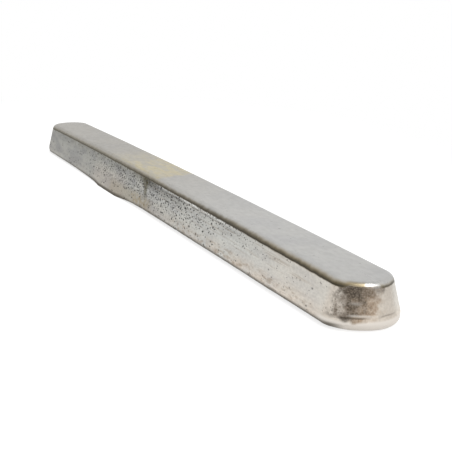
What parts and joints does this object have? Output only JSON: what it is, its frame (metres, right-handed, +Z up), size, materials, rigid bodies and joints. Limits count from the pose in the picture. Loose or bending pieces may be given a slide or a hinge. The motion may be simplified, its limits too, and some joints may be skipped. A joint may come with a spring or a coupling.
{
  "type": "solder bar",
  "caption": "Cast solder bar with a narrow arched top, drafted sides, full-round ends and a wide flat underside with a short pour lip; raw stock for a solder pot.",
  "frame": {"origin": "middle of the outline, on the flat underside that the bar lies on", "axes": "+X along the bar, towards the end away from the pour lip, +Z up through the narrow top face"},
  "size_m": [0.343, 0.0298, 0.0171],
  "materials": {
    "tin_alloy": "as cast, satin on top, pitted sides"
  },
  "bodies": {
    "root": {"solder_bar": "tin_alloy"}
  },
  "joints": []
}
